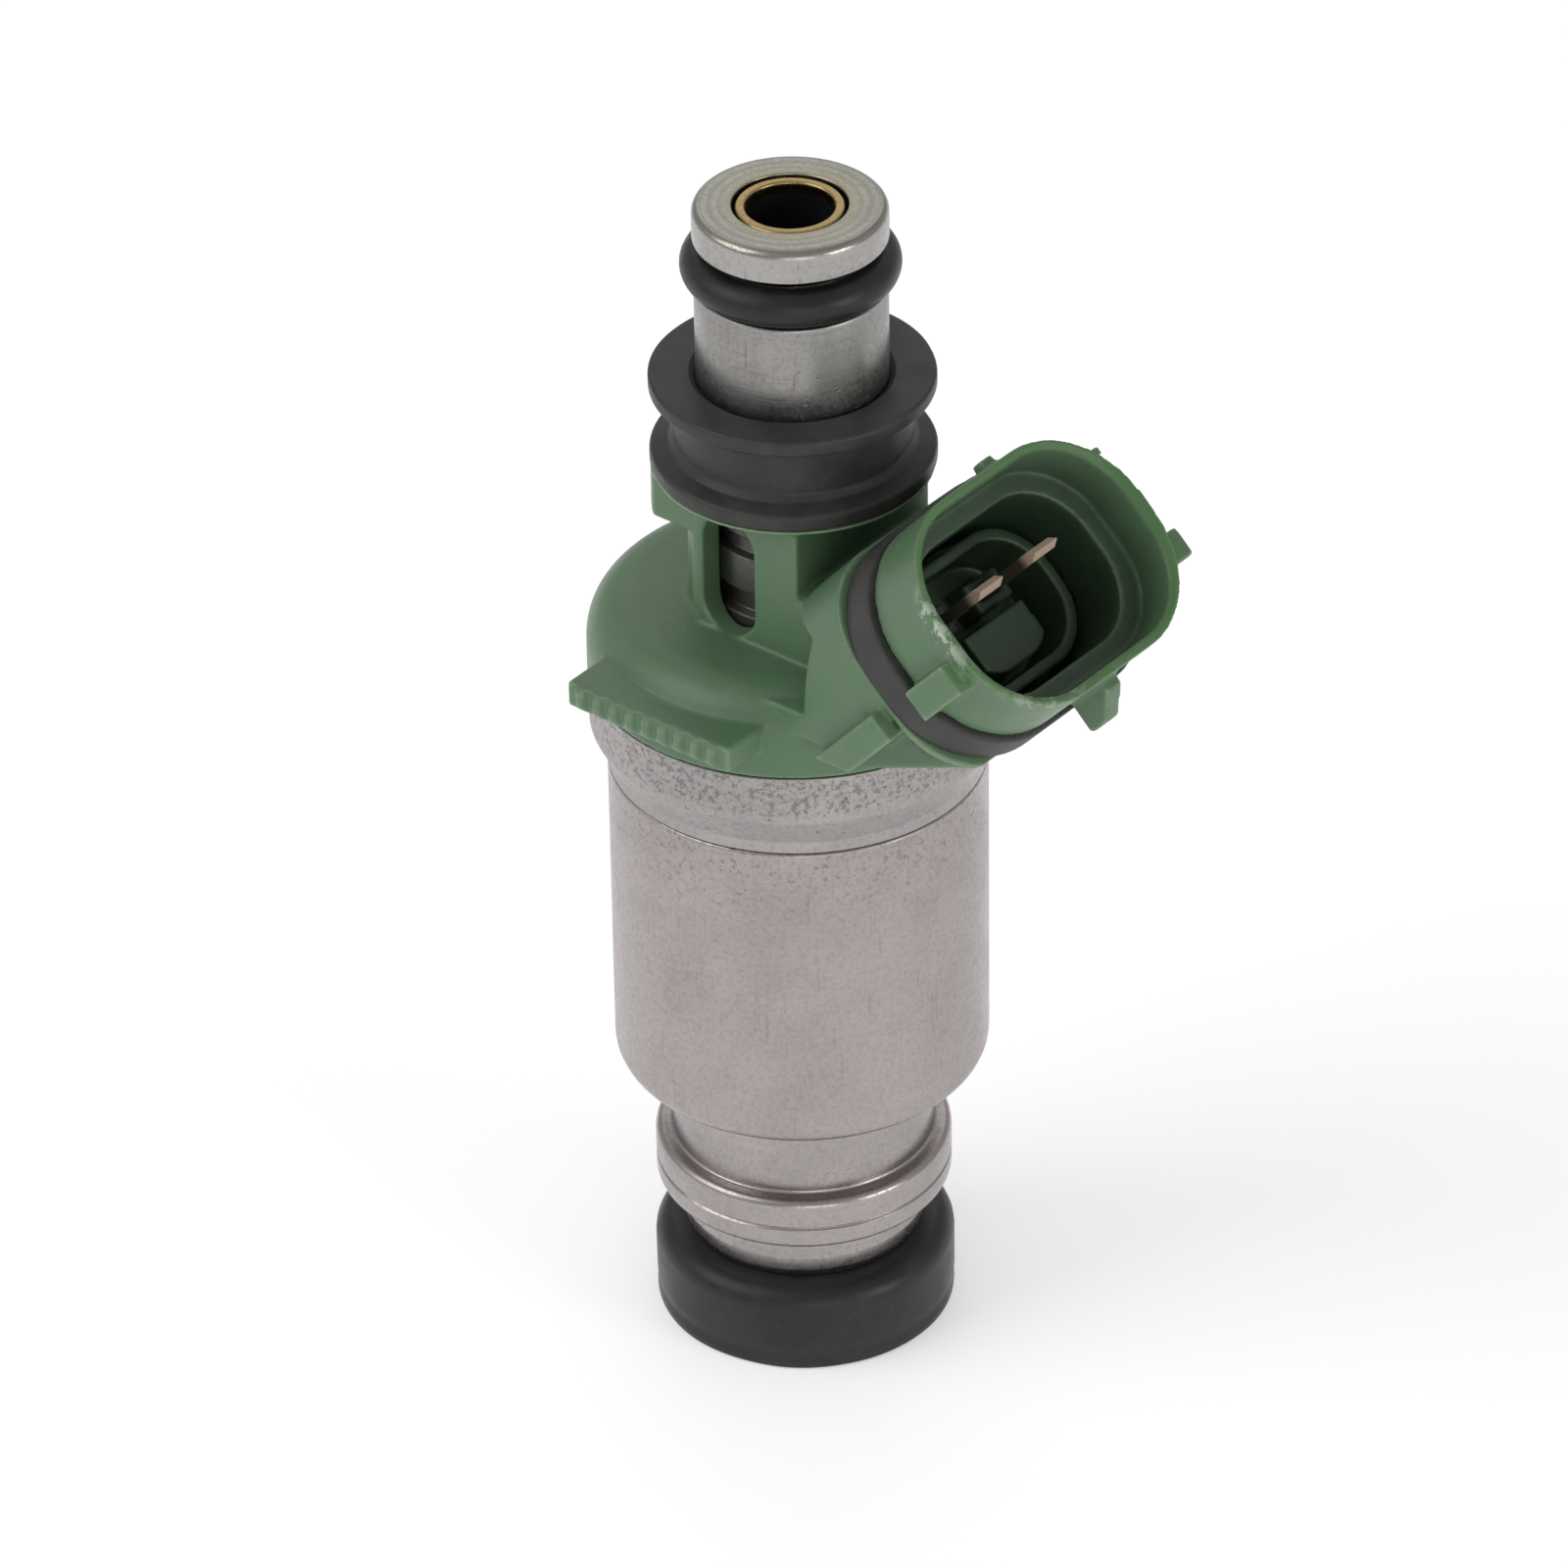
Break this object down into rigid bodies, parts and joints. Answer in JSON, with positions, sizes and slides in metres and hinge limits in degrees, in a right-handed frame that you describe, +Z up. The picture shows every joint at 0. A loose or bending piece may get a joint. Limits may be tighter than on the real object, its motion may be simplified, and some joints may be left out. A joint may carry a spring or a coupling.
{
  "type": "fuel injector",
  "caption": "Top-feed electromagnetic fuel injector with a slanted oval electrical socket, rubber grommet, rail o-ring and a rubber manifold seal.",
  "frame": {"origin": "centre of the spray outlet, in the bottom face that the injector stands on", "axes": "+Z up the injector axis towards the fuel inlet, +X towards the side that the electrical socket is on"},
  "size_m": [0.0343, 0.0252, 0.073],
  "materials": {
    "turned_steel": "satin turned steel",
    "brass": "satin brass",
    "black_plastic": "matte moulded plastic",
    "strainer": "fine woven mesh",
    "ring_rubber": "smooth oiled rubber",
    "grommet_rubber": "smooth moulded rubber",
    "spring_steel": "bright wire",
    "green_plastic": "semi-gloss moulded plastic",
    "gasket_rubber": "matte rubber",
    "terminal_copper": "bare copper alloy",
    "bobbin_plastic": "matte moulded plastic",
    "winding_copper": "enamelled wire",
    "collar_steel": "speckled plated steel",
    "housing_steel": "satin plated steel, finely pitted",
    "stainless": "ground stainless steel",
    "holder_steel": "satin turned steel",
    "seal_rubber": "smooth moulded rubber"
  },
  "bodies": {
    "injector": {"inlet_core": "turned_steel", "filter_collar": "brass", "filter_basket": "black_plastic", "filter_mesh": "strainer", "rail_o_ring": "ring_rubber", "rail_grommet": "grommet_rubber", "adjusting_tube": "brass", "return_spring": "spring_steel", "connector_body": "green_plastic", "connector_seal": "gasket_rubber", "terminal_front": "terminal_copper", "terminal_rear": "terminal_copper", "coil_bobbin": "bobbin_plastic", "coil_winding": "winding_copper", "bobbin_upper_o_ring": "ring_rubber", "bobbin_lower_o_ring": "ring_rubber", "yoke_collar": "collar_steel", "main_housing": "housing_steel", "non_magnetic_sleeve": "stainless", "stop_spacer": "stainless", "nozzle_holder": "holder_steel", "holder_o_ring": "ring_rubber", "valve_body": "stainless", "orifice_plate": "stainless", "tip_cap": "black_plastic", "manifold_seal": "seal_rubber"},
    "needle_valve": {"armature": "stainless", "valve_needle": "stainless"}
  },
  "joints": [
    {"name": "needle_lift", "type": "slide", "parent": "injector", "child": "needle_valve", "axis": [0, 0, 1], "range_m": [0, 0.0001], "stiffness_N_per_m": 20, "springref_m": -0.0005, "deforming": ["return_spring"]}
  ]
}
